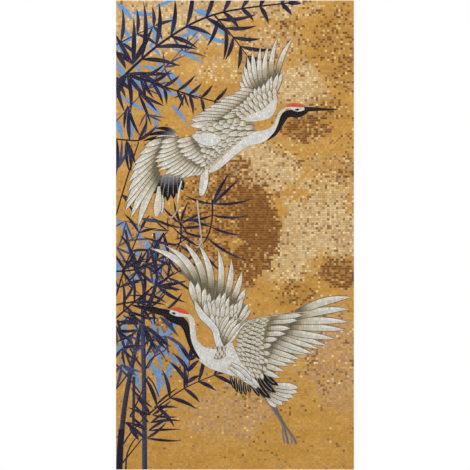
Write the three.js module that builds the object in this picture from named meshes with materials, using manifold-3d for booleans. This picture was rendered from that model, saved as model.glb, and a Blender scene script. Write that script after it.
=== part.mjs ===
// A tall mosaic mural panel: two cranes in flight over bamboo, in glass tesserae.
// Frame: origin at the middle of the back face, +X to the right, +Z up, the front faces -Y.
import * as THREE from 'three';
import { mergeVertices } from 'three/addons/utils/BufferGeometryUtils.js';
import Module from 'manifold-3d';

const wasm = await Module();
wasm.setup();

// the tessera module sets the size of the whole panel
const TILE = 10;
const JOINT = 1.1;
const COLUMNS = 106;
const ROWS = 209;
const WIDTH = COLUMNS * (TILE + JOINT);
const HEIGHT = ROWS * (TILE + JOINT);

// layers, counted from the wall
const BOARD_THICK = 12;
const SHEET_THICK = 6;
const FRONT = -(BOARD_THICK + SHEET_THICK);

// how deep each kind of inlay sits in the sheet, and the open joint round it
const CRANE_DEPTH = 2.5;
const BAMBOO_DEPTH = 3.5;
const GAP = 1.0;
const SMOOTH = 0.3;

const COLOURS = {
  cement: 0xa9a59b,
  ochre: 0xc0923f,
  ivory: 0xdedcd3,
  black: 0x19161a,
  red: 0xc44c2a,
  grey: 0x96866f,
  navy: 0x26243a,
  slate: 0x484c68,
};

// ---------------------------------------------------------------- curves

function mix(a, b, part) {
  return [a[0] + (b[0] - a[0]) * part, a[1] + (b[1] - a[1]) * part];
}

function spline(points, steps = 8) {
  const ends = [points[0], ...points, points[points.length - 1]];
  const line = [];
  for (let i = 1; i < ends.length - 2; i += 1) {
    const [a, b, c, d] = [ends[i - 1], ends[i], ends[i + 1], ends[i + 2]];
    for (let k = 0; k < steps; k += 1) {
      const t = k / steps;
      const bend = (j) => 2 * b[j]
        + (c[j] - a[j]) * t
        + (2 * a[j] - 5 * b[j] + 4 * c[j] - d[j]) * t * t
        + (3 * b[j] - a[j] - 3 * c[j] + d[j]) * t * t * t;
      line.push([bend(0) / 2, bend(1) / 2]);
    }
  }
  line.push(points[points.length - 1]);
  return line;
}

function lengthOf(line) {
  let total = 0;
  for (let i = 1; i < line.length; i += 1) {
    total += Math.hypot(line[i][0] - line[i - 1][0], line[i][1] - line[i - 1][1]);
  }
  return total;
}

function pointAt(line, part) {
  let left = lengthOf(line) * part;
  for (let i = 1; i < line.length; i += 1) {
    const span = Math.hypot(line[i][0] - line[i - 1][0], line[i][1] - line[i - 1][1]);
    if (left <= span && span > 0) {
      return mix(line[i - 1], line[i], left / span);
    }
    left -= span;
  }
  return line[line.length - 1];
}

function headingAt(line, part) {
  const a = pointAt(line, Math.max(0, part - 0.02));
  const b = pointAt(line, Math.min(1, part + 0.02));
  return Math.atan2(b[1] - a[1], b[0] - a[0]);
}

// a shallow arc; bow is its sideways rise as a part of its length
function bowed(base, tip, bow, steps = 8) {
  const run = [tip[0] - base[0], tip[1] - base[1]];
  const middle = [
    base[0] + run[0] / 2 - run[1] * bow * 2,
    base[1] + run[1] / 2 + run[0] * bow * 2,
  ];
  const line = [];
  for (let k = 0; k <= steps; k += 1) {
    const t = k / steps;
    line.push(mix(mix(base, middle, t), mix(middle, tip, t), t));
  }
  return line;
}

// ---------------------------------------------------------------- outlines

function leafProfile(t) {
  return t < 0.3 ? 0.25 + 0.75 * (t / 0.3) ** 0.75 : Math.max(0, 1 - ((t - 0.3) / 0.7) ** 1.7);
}

function bladeProfile(t) {
  const rise = 0.5 + 0.5 * Math.min(1, t / 0.55);
  return t < 0.62 ? rise : rise * Math.sqrt(Math.max(0, 1 - ((t - 0.62) / 0.38) ** 2.4));
}

function scaleProfile(t) {
  const rise = 0.75 + 0.25 * Math.min(1, t / 0.4);
  return t < 0.5 ? rise : rise * Math.sqrt(Math.max(0, 1 - ((t - 0.5) / 0.5) ** 2.6));
}

const LEAF_MARKS = [0, 0.4, 1];
const BLADE_MARKS = [0, 0.72, 1];
const SCALE_MARKS = [0, 0.5, 0.85, 1];
// shorter leaves are only a tile or two wide and stay in the sheet
const SHORTEST_LEAF = 160;

// the outline of a strip of changing width along a line
function strip(line, width, marks) {
  const left = [];
  const right = [];
  for (const t of marks) {
    const [x, z] = pointAt(line, t);
    const turn = headingAt(line, t) + Math.PI / 2;
    const half = width(t) / 2;
    if (half < 0.2) {
      left.push([x, z]);
    } else {
      left.push([x + half * Math.cos(turn), z + half * Math.sin(turn)]);
      right.unshift([x - half * Math.cos(turn), z - half * Math.sin(turn)]);
    }
  }
  return left.concat(right);
}

function evenMarks(line, pitch) {
  const count = Math.max(2, Math.round(lengthOf(line) / pitch));
  return Array.from({ length: count + 1 }, (_, k) => k / count);
}

function signedArea(loop) {
  let sum = 0;
  loop.forEach((p, i) => {
    const q = loop[(i + 1) % loop.length];
    sum += p[0] * q[1] - q[0] * p[1];
  });
  return sum / 2;
}

// the same outline moved outward, for the joint round an inlay
function widened(loop, by) {
  const side = signedArea(loop) > 0 ? 1 : -1;
  return loop.map((p, i) => {
    const before = loop[(i + loop.length - 1) % loop.length];
    const after = loop[(i + 1) % loop.length];
    const a = Math.atan2(p[1] - before[1], p[0] - before[0]);
    const b = Math.atan2(after[1] - p[1], after[0] - p[0]);
    const out = [Math.sin(a) + Math.sin(b), -Math.cos(a) - Math.cos(b)];
    const size = Math.hypot(out[0], out[1]);
    const reach = Math.min(2.5, 2 / Math.max(size, 0.2)) * by * side;
    return [p[0] + (out[0] / (size || 1)) * reach, p[1] + (out[1] / (size || 1)) * reach];
  });
}

// ---------------------------------------------------------------- the inlays, top ones first

const inlays = new Map();

function lay(name, loop) {
  inlays.get(name).loops.push(loop);
}

function start(name, colour, depth) {
  inlays.set(name, { colour, depth, loops: [] });
}

function band(name, points, width, pitch = 60) {
  const line = spline(points);
  lay(name, strip(line, width, evenMarks(line, pitch)));
}

const taper = (from, to) => (t) => from + (to - from) * t;

function feather(name, base, tip, wide, bow, profile = bladeProfile, marks = BLADE_MARKS) {
  lay(name, strip(bowed(base, tip, bow), (t) => wide * profile(t), marks));
}

// the skin between two curves, that feathers lie on
function skin(name, near, far, reach = 1) {
  const a = spline(near);
  const b = spline(far);
  const marks = [0, 0.33, 0.67, 1];
  const inner = marks.map((t) => pointAt(a, t));
  const outer = marks.map((t) => mix(pointAt(a, t), pointAt(b, t), reach));
  lay(name, inner.concat(outer.reverse()));
}

// feathers side by side, from a base curve to a tip curve
function row(name, bases, tips, count, wide, bow, reach = 0, swing = 0) {
  const a = spline(bases);
  const b = spline(tips);
  for (let k = 0; k < count; k += 1) {
    const t = count > 1 ? k / (count - 1) : 0;
    const base = pointAt(a, t);
    const tip = mix(base, pointAt(b, t), 1 + swing * Math.sin(k * 2.4));
    feather(name, base, tip, wide, bow);
  }
  if (reach > 0) {
    skin(name, bases, tips, reach);
  }
}

function leaf(name, base, angle, size, wide, bow) {
  if (size < SHORTEST_LEAF) {
    return;
  }
  const tip = [base[0] + size * Math.cos(angle), base[1] + size * Math.sin(angle)];
  const heel = [base[0] - 4 * Math.cos(angle), base[1] - 4 * Math.sin(angle)];
  lay(name, strip(bowed(heel, tip, bow), (t) => wide * leafProfile(t), LEAF_MARKS));
}

function spray(name, base, leaves) {
  for (const [degrees, size, wide, bow] of leaves) {
    leaf(name, base, THREE.MathUtils.degToRad(degrees), size, wide, bow);
  }
}

// a stem with leaves in pairs; sizes and angles run from the first pair to the last
function branch(name, points, wide, spec) {
  const { count, left = 1, right = 1, size, turn, leafWide, from = 0.1, bow = 0.05, tipLeaf = 0 } = spec;
  band(name, points, taper(wide, wide * 0.55), 110);
  const line = spline(points);
  for (let k = 0; k < count; k += 1) {
    const part = k / Math.max(1, count - 1);
    const place = from + (0.97 - from) * part;
    const base = pointAt(line, place);
    const head = headingAt(line, place);
    const big = size[0] + (size[1] - size[0]) * part;
    const fan = THREE.MathUtils.degToRad(turn[0] + (turn[1] - turn[0]) * part);
    const leftTurn = fan * (1 + 0.16 * Math.sin(3.1 * k));
    const rightTurn = fan * (1 + 0.16 * Math.sin(2.7 * k + 2));
    if (left > 0) {
      leaf(name, base, head + leftTurn, big * left * (1 + 0.15 * Math.sin(2.3 * k + 1)), leafWide, -bow);
    }
    if (right > 0) {
      leaf(name, base, head - rightTurn, big * right * (1 + 0.15 * Math.sin(1.9 * k)), leafWide, bow);
    }
  }
  leaf(name, pointAt(line, 0.98), headingAt(line, 1) - 0.15, tipLeaf, leafWide, bow / 2);
}

// ---------------------------------------------------------------- the upper crane

function highCrane() {
  start('crane_high_crown', 'red', CRANE_DEPTH);
  band('crane_high_crown', [[250, 628], [274, 637], [312, 640], [340, 635]],
    (t) => 22 * (0.6 + 0.5 * Math.sin(Math.PI * t)));
  start('crane_high_eye', 'black', CRANE_DEPTH);
  band('crane_high_eye', [[300, 620], [316, 621]], taper(11, 11), 16);
  start('crane_high_cheek', 'ivory', CRANE_DEPTH);
  band('crane_high_cheek', [[278, 622], [337, 621]], taper(18, 18), 30);
  start('crane_high_beak', 'black', CRANE_DEPTH);
  band('crane_high_beak', [[338, 614], [409, 619], [499, 621]], (t) => 34 - 29 * Math.min(1, t * 1.25));
  start('crane_high_mask', 'black', CRANE_DEPTH);
  band('crane_high_mask',
    [[346, 606], [304, 595], [263, 591], [242, 562], [221, 525], [194, 495], [162, 475]],
    (t) => 36 - 26 * Math.min(1, t * 1.5));
  const body = 'crane_high_body';
  start(body, 'ivory', CRANE_DEPTH);
  band(body, [[274, 616], [240, 604], [224, 562], [200, 525], [162, 502], [110, 489]], taper(28, 72));
  band(body, [[128, 490], [80, 461], [12, 424], [-48, 376], [-100, 330], [-138, 310]], taper(60, 30));
  feather(body, [-63, 489], [-216, 501], 64, -0.04, scaleProfile, SCALE_MARKS);
  skin(body, [[117, 519], [98, 495], [65, 457]], [[-168, 536], [-130, 457], [-108, 345]]);
  const high = 'crane_high_raised_wing';
  start(high, 'ivory', CRANE_DEPTH);
  band(high, [[12, 562], [102, 562], [170, 568], [192, 607], [209, 682], [222, 772]], taper(44, 22));
  skin(high, [[35, 562], [132, 589], [188, 652]], [[-70, 562], [50, 652], [185, 720]]);
  skin(high, [[-18, 555], [72, 637], [196, 682]], [[-138, 562], [-33, 667], [72, 742], [200, 810]], 0.95);
  row(high, [[-48, 555], [35, 652], [132, 712]],
    [[-223, 540], [-201, 596], [-123, 652], [12, 712], [35, 784]], 7, 52, 0.04, 0.9, 0.03);
  row(high, [[215, 787], [147, 742], [57, 712]],
    [[278, 978], [212, 975], [162, 941], [91, 919], [48, 862]], 6, 44, 0.05, 0.6, 0.02);
  const low = 'crane_high_lowered_wing';
  start(low, 'ivory', CRANE_DEPTH);
  skin(low, [[-160, 532], [-130, 442], [-63, 356]], [[-362, 477], [-332, 367], [-235, 277]]);
  row(low, [[-317, 487], [-287, 382], [-235, 300]], [[-437, 427], [-400, 360], [-340, 285]],
    4, 56, 0.03, 0.95);
  row(low, [[-370, 450], [-385, 367], [-355, 300]],
    [[-493, 341], [-523, 266], [-533, 195], [-533, 123], [-508, 63], [-484, 30]], 8, 48, -0.04, 0.75, 0.02);
  row(low, [[-340, 292], [-362, 277]], [[-370, 97], [-407, 116]], 2, 32, -0.03);
  start('crane_high_plumes_below', 'black', CRANE_DEPTH);
  row('crane_high_plumes_below', [[-257, 292], [-355, 292]],
    [[-263, 225], [-295, 178], [-336, 161], [-388, 208]], 5, 38, -0.03, 0.8);
  start('crane_high_plumes_above', 'black', CRANE_DEPTH);
  row('crane_high_plumes_above', [[-272, 487], [-340, 450]],
    [[-391, 525], [-445, 484], [-450, 444]], 4, 28, 0.05, 0.8);
  start('crane_high_leg', 'grey', CRANE_DEPTH);
  feather('crane_high_leg', [-145, 322], [-164, 195], 46, 0.04);
  band('crane_high_leg', [[-172, 216], [-176, 127], [-168, 37], [-162, -30], [-166, -68]], taper(8, 6), 60);
}

// ---------------------------------------------------------------- the lower crane

function lowCrane() {
  start('crane_low_crown', 'red', CRANE_DEPTH);
  band('crane_low_crown', [[-325, -367], [-299, -367], [-265, -373], [-232, -387]],
    (t) => 25 * (0.5 + 0.5 * Math.sin(Math.PI * t)));
  start('crane_low_eye', 'black', CRANE_DEPTH);
  band('crane_low_eye', [[-310, -386], [-294, -388]], taper(11, 11), 16);
  start('crane_low_cheek', 'ivory', CRANE_DEPTH);
  band('crane_low_cheek', [[-325, -381], [-265, -394]], taper(18, 18), 30);
  start('crane_low_beak', 'black', CRANE_DEPTH);
  band('crane_low_beak', [[-326, -391], [-407, -364], [-505, -342]], (t) => 38 - 33 * Math.min(1, t * 1.2));
  start('crane_low_mask', 'black', CRANE_DEPTH);
  band('crane_low_mask',
    [[-336, -403], [-295, -418], [-257, -432], [-236, -462], [-223, -515], [-206, -563], [-176, -612]],
    (t) => 38 - 28 * Math.min(1, t * 1.5));
  const body = 'crane_low_body';
  start(body, 'ivory', CRANE_DEPTH);
  band(body, [[-272, -403], [-229, -415], [-211, -454], [-200, -507], [-171, -567], [-108, -612]],
    (t) => 28 + 60 * t * t);
  row(body, [[-48, -620], [5, -665], [72, -710]], [[57, -717], [95, -747], [136, -770]], 5, 32, 0.03, 0.7);
  skin(body, [[-138, -556], [-78, -556], [-18, -545]], [[-100, -620], [-63, -620], [-29, -612]]);
  band(body, [[-153, -586], [-100, -626], [-33, -650], [35, -691], [110, -751]], taper(96, 40));
  const near = 'crane_low_spread_wing';
  start(near, 'ivory', CRANE_DEPTH);
  band(near, [[-36, -575], [-10, -503], [35, -451], [110, -413], [200, -400]], taper(40, 18));
  skin(near, [[-36, -567], [5, -635], [110, -725]], [[-6, -530], [42, -620], [125, -695]]);
  skin(near, [[50, -447], [5, -522], [42, -620]], [[207, -409], [162, -545], [132, -695]]);
  skin(near, [[147, -417], [132, -545], [95, -635]], [[368, -396], [334, -492], [282, -612], [215, -665]]);
  row(near, [[297, -391], [274, -469], [200, -575], [155, -635]],
    [[578, -298], [573, -361], [559, -458], [503, -518], [453, -554], [391, -593], [327, -620], [226, -656]],
    8, 48, 0.05, 0.75);
  row(near, [[132, -635], [102, -680]], [[226, -687], [207, -713]], 2, 28, 0.03);
  const far = 'crane_low_raised_wing';
  start(far, 'ivory', CRANE_DEPTH);
  band(far, [[-59, -563], [-87, -530], [-102, -477], [-147, -424], [-181, -372], [-194, -331]],
    taper(50, 18));
  skin(far, [[-93, -485], [-63, -537], [-10, -530]], [[-145, -372], [-63, -409], [35, -439]]);
  skin(far, [[-138, -424], [-70, -462], [12, -492]], [[-182, -321], [-108, -342], [-25, -342], [76, -368]]);
  skin(far, [[-175, -364], [-93, -409], [5, -454]],
    [[-216, -250], [-138, -284], [-63, -281], [-3, -312], [64, -328]]);
  row(far, [[-179, -297], [-100, -357], [5, -402]],
    [[-422, -61], [-310, -47], [-227, -44], [-153, -48], [-93, -73], [-36, -106], [24, -154], [56, -263]],
    7, 44, -0.09, 0.5);
  start('crane_low_plumes_behind', 'black', CRANE_DEPTH);
  row('crane_low_plumes_behind', [[132, -665], [110, -725]],
    [[200, -687], [209, -755], [196, -796]], 4, 32, 0.03, 0.8);
  start('crane_low_plumes_under', 'black', CRANE_DEPTH);
  row('crane_low_plumes_under', [[-3, -695], [80, -732]], [[5, -770], [35, -791], [76, -788]],
    4, 28, 0.02, 0.8);
  start('crane_low_tail', 'ivory', CRANE_DEPTH);
  row('crane_low_tail', [[162, -725], [147, -770]],
    [[312, -747], [308, -785], [274, -815], [207, -848]], 5, 44, 0.03, 0.8);
  start('crane_low_leg', 'grey', CRANE_DEPTH);
  band('crane_low_leg', [[147, -770], [200, -867], [237, -942], [259, -1032]], taper(9, 7), 60);
  band('crane_low_leg', [[192, -815], [215, -882], [259, -957], [301, -1034]], taper(8, 7), 60);
  band('crane_low_leg', [[240, -958], [282, -1010], [282, -1040]], taper(7, 6), 60);
}

// ---------------------------------------------------------------- bamboo

function bambooAbove(name) {
  branch(name, [[-535, 791], [-400, 904], [-287, 994], [-123, 1080], [42, 1125], [259, 1144]], 11,
    { count: 9, right: 0.8, size: [230, 105], turn: [52, 62], leafWide: 21, bow: 0.06, tipLeaf: 160 });
  branch(name, [[-100, 1082], [-48, 1013], [12, 945], [76, 866]], 8,
    { count: 5, left: 0.9, size: [120, 110], turn: [68, 55], leafWide: 17, from: 0.12, bow: 0.06 });
  branch(name, [[-535, 791], [-415, 765], [-287, 718], [-168, 675], [-63, 658]], 9,
    { count: 8, left: 0.8, size: [150, 90], turn: [42, 58], leafWide: 17 });
  spray(name, [-531, 787], [[-68, 250, 24, 0.03], [-93, 185, 24, -0.03], [-118, 120, 20, 0.03],
    [-38, 210, 25, 0.03], [15, 130, 18, -0.05], [107, 300, 24, 0.04], [78, 130, 20, 0.05], [140, 90, 18, 0]]);
  spray(name, [-587, 938], [[-52, 150, 20, 0.03], [75, 110, 18, 0]]);
  band(name, [[-587, 934], [-512, 979], [-445, 1020]], taper(7, 5), 80);
  spray(name, [-445, 1020], [[75, 120, 14, 0.04], [20, 90, 10, 0.04]]);
}

function bambooBeside(name) {
  branch(name, [[-516, 787], [-497, 667], [-448, 525], [-460, 461]], 8,
    { count: 3, left: 0, right: 0.7, size: [150, 100], turn: [30, 40], leafWide: 18, from: 0.3, bow: 0.04 });
  band(name, [[-587, 476], [-520, 472], [-456, 463]], taper(8, 7), 80);
  spray(name, [-460, 465], [[48, 190, 13, -0.06], [75, 100, 16, 0.05], [-40, 60, 12, 0]]);
  spray(name, [-542, 637], [[-97, 180, 24, 0.03], [80, 130, 14, 0.02]]);
  spray(name, [-533, 472], [[-64, 145, 26, -0.04], [-112, 120, 14, 0.04]]);
  spray(name, [-584, 484], [[-80, 250, 26, 0.06], [60, 150, 15, 0.04]]);
  band(name, [[-460, 463], [-535, 277], [-572, 165], [-587, 75]], taper(7, 6), 80);
  spray(name, [-542, 255], [[-130, 90, 12, 0.05], [130, 120, 12, 0.05]]);
}

function bambooBetween(name) {
  band(name, [[-111, 217], [-111, 112], [-138, 7], [-168, -68]], taper(7, 9), 80);
  spray(name, [-111, 150], [[47, 215, 22, -0.06], [25, 150, 15, 0.03], [147, 150, 17, -0.03]]);
  spray(name, [-117, 82], [[6, 175, 15, -0.03], [142, 130, 14, -0.04], [165, 160, 15, 0.03]]);
  spray(name, [-134, 15], [[-1, 180, 15, -0.04], [160, 150, 15, 0.04], [200, 170, 14, 0.04]]);
  spray(name, [-168, -53], [[-3, 200, 16, 0.03], [8, 190, 14, -0.03], [175, 150, 15, 0.03],
    [128, 110, 14, 0]]);
  band(name, [[-276, 225], [-269, 112], [-269, 45], [-340, -68]], taper(7, 8), 80);
  spray(name, [-269, 45], [[86, 170, 18, 0.02], [145, 125, 20, 0.03], [35, 150, 16, -0.03],
    [190, 180, 16, 0.05], [160, 170, 14, 0.03], [-20, 120, 14, 0.02]]);
  spray(name, [-325, -38], [[150, 200, 18, 0.04], [170, 220, 16, 0.03], [100, 120, 14, 0],
    [12, 150, 15, -0.04], [205, 170, 18, 0]]);
}

function bambooThicket(name) {
  branch(name, [[-572, -342], [-490, -316], [-385, -237], [-265, -162]], 9,
    { count: 6, size: [150, 120], turn: [50, 60], leafWide: 18, from: 0.08 });
  branch(name, [[-587, -289], [-542, -147], [-467, -57], [-362, 11]], 8,
    { count: 6, size: [120, 110], turn: [55, 60], leafWide: 17, from: 0.08 });
  branch(name, [[-580, -394], [-497, -274], [-445, -192], [-426, -72]], 8,
    { count: 5, size: [130, 110], turn: [50, 60], leafWide: 18 });
  branch(name, [[-407, -394], [-340, -327], [-272, -297], [-205, -334]], 7,
    { count: 4, right: 0.8, size: [110, 90], turn: [60, 60], leafWide: 16 });
  spray(name, [-460, -424], [[-60, 150, 18, 0.03], [175, 150, 26, 0], [-10, 130, 16, -0.03],
    [-85, 110, 16, 0], [150, 140, 18, 0.03]]);
  spray(name, [-445, -440], [[-62, 165, 24, 0.08], [-30, 60, 14, 0], [160, 120, 16, 0]]);
}

function bambooBelow(name) {
  branch(name, [[-542, -1077], [-497, -1017], [-437, -942], [-362, -837], [-257, -762], [-138, -695]], 11,
    { count: 7, right: 0.9, size: [120, 110], turn: [62, 50], leafWide: 20 });
  branch(name, [[-252, -758], [-231, -672], [-175, -620]], 8,
    { count: 3, left: 1.1, right: 0.6, size: [140, 90], turn: [40, 50], leafWide: 20, from: 0.05 });
  branch(name, [[-490, -1010], [-430, -980], [-340, -972]], 8,
    { count: 3, left: 0.8, right: 0.9, size: [130, 90], turn: [30, 40], leafWide: 15 });
  spray(name, [-140, -697], [[-18, 150, 22, 0.03], [70, 70, 14, 0]]);
  spray(name, [-400, -848], [[160, 160, 26, 0.03], [118, 150, 24, -0.03], [-3, 190, 16, 0.03]]);
  spray(name, [-475, -1013], [[118, 100, 20, 0], [-70, 70, 14, 0]]);
  spray(name, [-229, -664], [[112, 150, 22, 0.04], [150, 100, 14, 0.03], [128, 200, 20, 0.04]]);
}

function bamboo() {
  const above = 'bamboo_above';
  start(above, 'navy', BAMBOO_DEPTH);
  bambooAbove(above);
  bambooBeside(above);
  const below = 'bamboo_below';
  start(below, 'navy', BAMBOO_DEPTH);
  bambooBetween(below);
  bambooThicket(below);
  bambooBelow(below);
  culms(below);
}

function culms(name) {
  band(name, [[-458, -394], [-448, -575], [-448, -800], [-446, -1110], [-446, -1158]], taper(22, 27), 120);
  band(name, [[-460, -439], [-482, -560], [-520, -710], [-553, -875], [-569, -1110], [-570, -1158]],
    taper(20, 28), 120);
  band(name, [[-499, -672], [-503, -800], [-506, -972]], taper(13, 13), 120);
  band(name, [[-572, -424], [-542, -545], [-497, -672]], taper(12, 12), 120);
  band(name, [[-415, 11], [-391, -109], [-394, -244], [-455, -400]], taper(14, 12), 80);
  band(name, [[-542, 26], [-482, -147], [-452, -222], [-458, -394]], taper(12, 18), 80);
}

// ---------------------------------------------------------------- solids

function toSolid(geometry) {
  const bare = geometry.clone();
  bare.deleteAttribute('normal');
  bare.deleteAttribute('uv');
  const merged = mergeVertices(bare, 1e-4);
  const mesh = new wasm.Mesh({
    numProp: 3,
    vertProperties: new Float32Array(merged.attributes.position.array),
    triVerts: new Uint32Array(merged.index.array),
  });
  return new wasm.Manifold(mesh);
}

// a flat slab of the sheet with the given outline, from the front face down
function plate(loop, depth, proud = 0) {
  const turned = signedArea(loop) > 0 ? loop : loop.slice().reverse();
  const shape = new THREE.Shape(turned.map(([x, z]) => new THREE.Vector2(x, z)));
  const geometry = new THREE.ExtrudeGeometry(shape, { depth: depth + proud, bevelEnabled: false });
  geometry.rotateX(Math.PI / 2);
  geometry.translate(0, FRONT + depth, 0);
  return toSolid(geometry);
}

function slab(thick, front) {
  const geometry = new THREE.BoxGeometry(WIDTH, thick, HEIGHT);
  geometry.translate(0, front + thick / 2, 0);
  return geometry;
}

function largest(solid) {
  const parts = solid.decompose();
  parts.sort((a, b) => b.volume() - a.volume());
  return parts[0];
}

function toMesh(name, solid, colour) {
  const mesh = solid.getMesh();
  const geometry = new THREE.BufferGeometry();
  geometry.setAttribute('position', new THREE.BufferAttribute(new Float32Array(mesh.vertProperties), 3));
  geometry.setIndex(new THREE.BufferAttribute(new Uint32Array(mesh.triVerts), 1));
  geometry.computeVertexNormals();
  const material = new THREE.MeshStandardMaterial({ color: COLOURS[colour], roughness: 0.35, metalness: 0 });
  const made = new THREE.Mesh(geometry, material);
  made.name = name;
  return made;
}

highCrane();
lowCrane();
bamboo();

const panel = new THREE.Group();
panel.name = 'mosaic_panel';

const boardSolid = toSolid(slab(BOARD_THICK, -BOARD_THICK));
panel.add(toMesh('backing_board', boardSolid, 'cement'));
panel.children[0].material.roughness = 0.9;

const sheet = toSolid(slab(SHEET_THICK, FRONT));
const pockets = [];
for (const [name, inlay] of inlays) {
  let solid = wasm.Manifold.union(inlay.loops.map((loop) => plate(loop, inlay.depth)));
  solid = solid.intersect(sheet);
  if (pockets.length > 0) {
    solid = solid.subtract(wasm.Manifold.union(pockets));
  }
  panel.add(toMesh(name, largest(solid.simplify(SMOOTH)), inlay.colour));
  pockets.push(wasm.Manifold.union(inlay.loops.map((loop) => plate(widened(loop, GAP), inlay.depth, 1))));
}

const ground = largest(sheet.subtract(wasm.Manifold.union(pockets)).simplify(SMOOTH));
panel.add(toMesh('ground', ground, 'ochre'));

export default panel;
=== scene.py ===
import random
from math import atan2, cos, hypot, pi, radians, sin, sqrt

import bpy
import numpy as np
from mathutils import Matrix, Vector, noise


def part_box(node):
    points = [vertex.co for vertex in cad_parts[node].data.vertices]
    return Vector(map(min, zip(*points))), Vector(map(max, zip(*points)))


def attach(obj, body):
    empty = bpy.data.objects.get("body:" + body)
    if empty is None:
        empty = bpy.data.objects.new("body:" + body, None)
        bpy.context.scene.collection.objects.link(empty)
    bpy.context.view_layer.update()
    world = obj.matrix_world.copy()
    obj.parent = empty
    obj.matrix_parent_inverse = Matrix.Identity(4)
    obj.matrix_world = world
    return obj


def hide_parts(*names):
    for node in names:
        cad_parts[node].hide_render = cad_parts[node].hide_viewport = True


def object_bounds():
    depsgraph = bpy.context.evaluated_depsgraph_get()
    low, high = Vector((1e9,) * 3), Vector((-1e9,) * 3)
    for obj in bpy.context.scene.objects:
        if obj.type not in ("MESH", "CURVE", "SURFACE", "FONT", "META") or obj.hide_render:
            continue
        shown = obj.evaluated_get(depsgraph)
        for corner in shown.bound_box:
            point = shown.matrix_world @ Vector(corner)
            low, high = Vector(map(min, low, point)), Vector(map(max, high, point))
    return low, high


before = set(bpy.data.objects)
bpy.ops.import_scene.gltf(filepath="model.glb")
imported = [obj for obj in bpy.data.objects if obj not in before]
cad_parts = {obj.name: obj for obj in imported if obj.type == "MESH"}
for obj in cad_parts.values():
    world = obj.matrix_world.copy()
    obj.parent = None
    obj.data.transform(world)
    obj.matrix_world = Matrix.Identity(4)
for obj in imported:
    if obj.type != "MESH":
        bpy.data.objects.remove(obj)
cad_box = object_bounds()

# The picture is set out in millimetres on the panel's front, x to the right and z up from its centre.
MM = 0.001
JOINT = 1.2  # the grout joint between two rows of the ground
CUT_JOINT = 0.5  # the closer joint between tiles that were nipped to shape
CLOSE_JOINT = 0.16  # dark glass is butted up, so that no pale grout line shows in it
TILE = 11.1  # one tile and its joint, from centre to centre
GLASS = 3.9  # how thick the glass is
low, high = cad_box
WIDTH, HEIGHT = (high.x - low.x) / MM, (high.z - low.z) / MM
FRONT = low.y / MM
COLUMNS, ROWS = round(WIDTH / TILE), round(HEIGHT / TILE)
HALF_WIDTH, HALF_HEIGHT = WIDTH / 2, HEIGHT / 2
SMALLEST = 5.0  # square millimetres, below which a tile setter leaves the gap to the grout
THINNEST = 0.7  # half the least width of a tile
SLIVER = 0.6  # half the width below which a shape's end gets no tile
SINGLE = 5  # half the width up to which one tile reaches across a shape
TIP = 0.42  # the tile at a pointed end, as a share of the others' length
MOST_RIM = 0.45  # the most of a shape's half width that its dark outline takes

STEPS = 10  # how many straight bits a curve has between two points
ALONG = 11.0  # how long a tile is along a shape
VANE = 12.0  # and along a feather
RIM = 2.4  # how wide a feather's dark outline is
STRAY = 0.035  # how far a feather's tip strays, as a share of its length

chance = random.Random(1912)  # for how tiles are laid and tinted
growth = random.Random(61)  # for how leaves grow


# ------------------------------------------------------------------ colours of the glass
def hexed(code):
    """Three sRGB numbers from a hex value."""
    return tuple(int(code[i:i + 2], 16) / 255 for i in (0, 2, 4))


def linear(colours):
    """sRGB numbers as the linear ones Blender works in."""
    c = np.clip(np.asarray(colours, float), 0, 1)
    return np.where(c <= 0.04045, c / 12.92, ((c + 0.055) / 1.055) ** 2.4)


def mix(a, b, share):
    return tuple(p + (q - p) * share for p, q in zip(a, b))


IVORY = hexed("d2d1c8")
COOL = hexed("c5c8c8")
WARM = hexed("bfb7a3")
SMOKE = hexed("857d68")
SHADE = hexed("5f5947")
LINE = hexed("484133")
BLACK = hexed("121014")
RED = hexed("c8452a")
NAVY = hexed("191931")
SLATE = hexed("3c405c")
DUSK = hexed("40466a")
BLUE = hexed("5f92c8")
GREY = hexed("8d8580")
SHAFT = hexed("9a9a98")
OCHRE = hexed("c49548")
GOLD = hexed("b8862f")
SPARK = hexed("ead2a0")


def grade(*stops):
    """A colour that changes along a feather, from its root at 0 to its tip at 1."""
    def at(t):
        for (a, first), (b, second) in zip(stops, stops[1:]):
            if t <= b:
                return mix(first, second, max(0.0, (t - a) / (b - a)))
        return stops[-1][1]
    return at


TONES = {
    "flight": grade((0.18, SHADE), (0.34, mix(SMOKE, WARM, 0.5)), (0.5, mix(WARM, IVORY, 0.7)),
                    (0.65, IVORY)),
    "long": grade((0.1, SHADE), (0.26, mix(SMOKE, WARM, 0.8)), (0.45, mix(WARM, IVORY, 0.6)), (0.75, IVORY)),
    "covert": grade((0.15, mix(SHADE, SMOKE, 0.5)), (0.32, mix(SMOKE, WARM, 0.9)),
                    (0.55, mix(WARM, IVORY, 0.6)), (0.8, IVORY)),
    "scale": grade((0.2, mix(SMOKE, WARM, 0.8)), (0.5, mix(WARM, IVORY, 0.5)), (0.9, mix(WARM, IVORY, 0.9))),
    "white": grade((0, mix(WARM, IVORY, 0.7)), (0.5, IVORY), (1, COOL)),
    "black": grade((0, mix(BLACK, SLATE, 0.3)), (0.35, BLACK), (1, BLACK)),
    "plume": grade((0.0, hexed("8a9090")), (0.3, hexed("4a4e52")), (0.5, BLACK), (1, BLACK)),
}


# ------------------------------------------------------------------ curves
def spline(points):
    """A smooth curve through a few points."""
    ends = [points[0], *points, points[-1]]
    out = []
    for a, b, c, d in zip(ends, ends[1:], ends[2:], ends[3:]):
        for k in range(STEPS):
            t = k / STEPS
            out.append(tuple(
                0.5 * (2 * b[j] + (c[j] - a[j]) * t + (2 * a[j] - 5 * b[j] + 4 * c[j] - d[j]) * t * t
                       + (3 * b[j] - a[j] - 3 * c[j] + d[j]) * t ** 3) for j in (0, 1)))
    out.append(tuple(points[-1]))
    return out


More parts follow.
